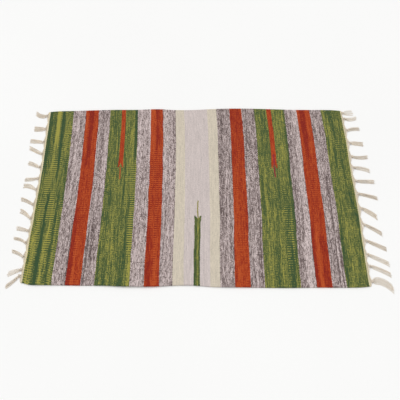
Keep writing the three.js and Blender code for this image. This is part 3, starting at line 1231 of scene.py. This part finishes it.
streaked_green = dyed_yarn(
    0.46,
    GREENS,
    listed=1.3,
    ladders=1.5,
    dashes=1.0,
    streaks=0.4,
    strands=1.2,
    singles=1.1,
    turns=0.9,
)
green = dyed_yarn(
    0.48, GREENS, listed=1.0, ladders=1.3, dashes=0.3, strands=1.4, singles=1.2, turns=1.1
)
red = dyed_yarn(0.54, REDS, listed=1.0, ladders=0.8, dashes=0.4, strands=1.4, singles=1.5, turns=1.3)
yarns = {
    "streaked green": streaked_green,
    "green": green,
    "red": red,
    "marl": marl_yarn(0.5),
    "pale marl": marl_yarn(0.55),
    "dark marl": marl_yarn(0.44),
    "cream": plain_yarn(CREAM),
    "lilac": plain_yarn(LILAC),
}
print("yarns:", list(yarns))

# %% [markdown]
# The stripes go on in the weaver's own order. From its start onward, each yarn is laid over all that
# came before it, so that one comparison and one mix for each row of the plan are enough. The start
# is read at the middle of the bead, which gives the edges of the stripes their fine teeth.

# %% Lay the stripes
def begun_at(far, near):
    return wires.calc("GREATER_THAN", along, weaving_place(far, near))


colour = plain_yarn(BAND)
for yarn, far, near in STRIPES:
    colour = wires.mix(begun_at(far, near), colour, yarns[yarn])
colour = wires.mix(begun_at(*FIELD_END), colour, plain_yarn(BAND))
print("nodes so far:", len(weft.node_tree.nodes))

# %% [markdown]
# The bars go over the stripes, each with its thin line. The red bars count their depth from the far
# selvedge, and the green one from the near selvedge. The green bar has dark sides and a light ridge
# a little to the right of its middle, where the crest and the foot say how wide the ridge is.

# %% Lay the forked bars
WINE = dyed(146, 44, 56)
ORANGE = dyed(178, 96, 48)
OLIVE = dyed(150, 142, 80)
RIDGE_PLACE = 0.2
RIDGE_FOOT = 0.5
RIDGE_CREST = 0.1
RIDGE_LIGHT = 0.5


def bar_masks(name, from_selvedge):
    sizes = dict(zip(bar_sizes, BARS[name]))
    return wires.group("Forked bar", Along=along, Depth=from_selvedge, **sizes)


bar_red = dyed_yarn(0.6, REDS, strands=1.2, singles=1.6, turns=1.0)
for name, line_colour in (("left red", ORANGE), ("right red", WINE)):
    bar = bar_masks(name, depth)
    colour = wires.mix(bar["Bar"], colour, bar_red)
    colour = wires.mix(bar["Line"], colour, line_colour)
from_near = wires.calc("SUBTRACT", CLOTH_WIDTH / MM, depth)
bar = bar_masks("green", from_near)
off_ridge = wires.calc("ABSOLUTE", wires.calc("SUBTRACT", bar["Aside"], RIDGE_PLACE))
ridge = wires.rise(off_ridge, RIDGE_FOOT, RIDGE_CREST)
bar_shade = shade_of(0.22, strands=0.8, singles=1.2, turns=0.8)
bar_green = wires.ramp(wires.calc("MULTIPLY_ADD", ridge, RIDGE_LIGHT, bar_shade), GREENS)
colour = wires.mix(bar["Bar"], colour, bar_green)
colour = wires.mix(bar["Line"], colour, OLIVE)
print("nodes so far:", len(weft.node_tree.nodes))

# %% [markdown]
# Wool and cotton are matt, with a faint velvet gloss at a grazing look. Fine bumps stand for the
# fibres, each about four times as long as it is thick. The grain is a group, since the bare cotton
# uses it too, and both materials end in the same kind of shader.

# %% Build the fibre grain and the matt shader
FIBRE_THINNESS = 0.25
ROUGHNESS = 0.9
GLOSS = 0.2

grain, given, result = node_group("Fibre grain", ["Along", "Around", "Size"], ["Grain"])
stretch = grain.calc("DIVIDE", given["Along"], given["Size"])
thickness = grain.calc("MULTIPLY", given["Size"], FIBRE_THINNESS)
thin = grain.calc("DIVIDE", given["Around"], thickness)
grain.feed(result["Grain"], grain.noise(stretch, thin, seed=5.0, detail=2.0))


def matt_shader(wires, colour, fibres, height, rough_grain, bump_strength, bump_depth, sheen):
    bump = wires.add("Bump")
    wires.feed(bump.inputs["Strength"], bump_strength)
    wires.feed(bump.inputs["Distance"], bump_depth * MM)
    wires.feed(bump.inputs["Height"], height)
    shader = wires.add("BsdfPrincipled")
    wires.feed(shader.inputs["Base Color"], colour)
    roughness = wires.calc("MULTIPLY_ADD", fibres, rough_grain, ROUGHNESS)
    wires.feed(shader.inputs["Roughness"], roughness)
    wires.feed(shader.inputs["Normal"], bump.outputs[0])
    wires.feed(shader.inputs["Specular IOR Level"], GLOSS)
    wires.feed(shader.inputs["Sheen Weight"], sheen)
    wires.feed(wires.add("OutputMaterial").inputs["Surface"], shader.outputs[0])


print("nodes of the grain:", len(grain.tree.nodes))

# %% [markdown]
# On the weft the beads give most of the height, and the grain lies on top of them.

# %% Finish the weft
GRAIN_HEIGHT = 0.35

fibres = wires.group(
    "Fibre grain",
    Along=wires.calc("MULTIPLY", warp_at, CLOTH_WIDTH / MM),
    Around=wires.calc("MULTIPLY", woven_at, WOVEN_SPAN),
    Size=1.6,
)["Grain"]
height = wires.calc("MULTIPLY_ADD", fibres, GRAIN_HEIGHT, bead["Relief"])
matt_shader(
    wires,
    colour,
    fibres,
    height,
    rough_grain=0.15,
    bump_strength=0.6,
    bump_depth=0.35,
    sheen=0.08,
)
cloth.data.materials.append(weft)
print("nodes of the weft:", len(weft.node_tree.nodes))

# %% [markdown]
# ## The bare cotton
# Unbleached cotton is a warm beige that varies from yarn to yarn. The tint of each yarn picks its
# shade, and shifts the noises so that no two yarns are alike. The grooves between the plies are
# painted a little darker: this is painted shade, standing in for the shadow that falls in them.

# %% Finish the cotton yarn
COTTONS = [
    (0.0, dyed(228, 213, 192)),
    (0.5, dyed(242, 230, 213)),
    (1.0, dyed(250, 242, 230)),
]
# painted shade for the grooves between the plies, and how much of it is mixed in
GROOVE_SHADE = dyed(176, 156, 128)
GROOVE_SHADE_SHARE = 0.15
GROOVE_WIDTH = 0.2
GRAIN_SHIFT = 90
SHADE_SHIFT = 40
SHADE_LENGTH = 14
SLOW_CHANGE = 0.6
FIBRE_CHANGE = 0.4

cotton, wires, run_at, round_at = new_finish("bare_cotton", "yarn")
tint = wires.add("Attribute", attribute_name="tint").outputs["Fac"]
run = wires.calc("MULTIPLY", run_at, STOCK_LENGTH)
fibres = wires.group(
    "Fibre grain",
    Along=wires.calc("MULTIPLY_ADD", tint, GRAIN_SHIFT, run),
    Around=wires.calc("MULTIPLY", round_at, 2 * np.pi * YARN_RADIUS),
    Size=1.5,
)["Grain"]
ply = wires.calc("PINGPONG", wires.calc("MULTIPLY", round_at, PLIES), 0.5)
groove = wires.rise(ply, GROOVE_WIDTH, 0.0)
shade_at = wires.calc("MULTIPLY_ADD", tint, SHADE_SHIFT, wires.scaled(run, SHADE_LENGTH))
slow = wires.noise(shade_at, tint, seed=3.0)
fine_shade = wires.calc("MULTIPLY_ADD", fibres, FIBRE_CHANGE, tint)
shade = wires.calc("MULTIPLY_ADD", slow, SLOW_CHANGE, fine_shade)
# the grooves get painted shade, which stands in for the shadow between the plies
colour = wires.mix(wires.calc("MULTIPLY", groove, GROOVE_SHADE_SHARE), wires.ramp(shade, COTTONS), GROOVE_SHADE)
matt_shader(
    wires,
    colour,
    fibres,
    fibres,
    rough_grain=0.1,
    bump_strength=0.4,
    bump_depth=0.15,
    sheen=0.15,
)
for made in fringes.values():
    made.data.materials.append(cotton)
print("nodes of the cotton:", len(cotton.node_tree.nodes))

# %% [markdown]
# ## Floor and light
# The rug is shown on a plain pale floor, twelve metres wide so that its edge is never seen. Its
# paint is very slightly cloudy, as any real floor is.

# %% Lay the floor
FLOOR_SIZE = 12
CLOUD_SCALE = 1.3
FLOOR_ROUGHNESS = 0.8
PALES = [(0.3, dyed(251, 251, 250)), (0.7, dyed(253, 253, 252))]

deselect_all()
bpy.ops.mesh.primitive_plane_add(size=FLOOR_SIZE, location=(0, 0, 0))
floor = bpy.context.object
floor.name = "studio_floor"
paint = bpy.data.materials.new("pale_floor")
paint.use_nodes = True
wires = Wires(paint.node_tree)
cloudy = wires.add("TexNoise")
wires.feed(cloudy.inputs["Vector"], wires.add("TexCoord").outputs["Object"])
wires.feed(cloudy.inputs["Scale"], CLOUD_SCALE)
painted = paint.node_tree.nodes["Principled BSDF"].inputs
wires.feed(painted["Base Color"], wires.ramp(cloudy.outputs[0], PALES))
wires.feed(painted["Roughness"], FLOOR_ROUGHNESS)
floor.data.materials.append(paint)
print("floor:", FLOOR_SIZE, "m square")

# %% [markdown]
# The lamp is of the sun kind, which lights the whole rug evenly, from the left and a little from
# behind. Its rays come from a wide patch of sky, as from a large soft box, and the white studio
# fills the shadows. So colours stay true, and every thread throws only a faint shadow.

# %% Hang the lamp and light the sky
LAMP_FROM = (-0.35, 0.45, 1.0)
LAMP_SOFTNESS = 60
LAMP_STRENGTH = 1.3
SKY_STRENGTH = 0.62

lamp = bpy.data.objects.new("soft_lamp", bpy.data.lights.new("soft_lamp", "SUN"))
bpy.context.scene.collection.objects.link(lamp)
lamp.data.angle = np.radians(LAMP_SOFTNESS)
lamp.data.energy = LAMP_STRENGTH
lamp.rotation_euler = Vector(LAMP_FROM).to_track_quat("Z", "Y").to_euler()
world = bpy.data.worlds.new("studio")
bpy.context.scene.world = world
world.use_nodes = True
sky = world.node_tree.nodes["Background"].inputs
sky["Color"].default_value = (1, 1, 1, 1)
sky["Strength"].default_value = SKY_STRENGTH
bpy.context.scene.view_settings.view_transform = "Standard"
print("lamp from", LAMP_FROM)
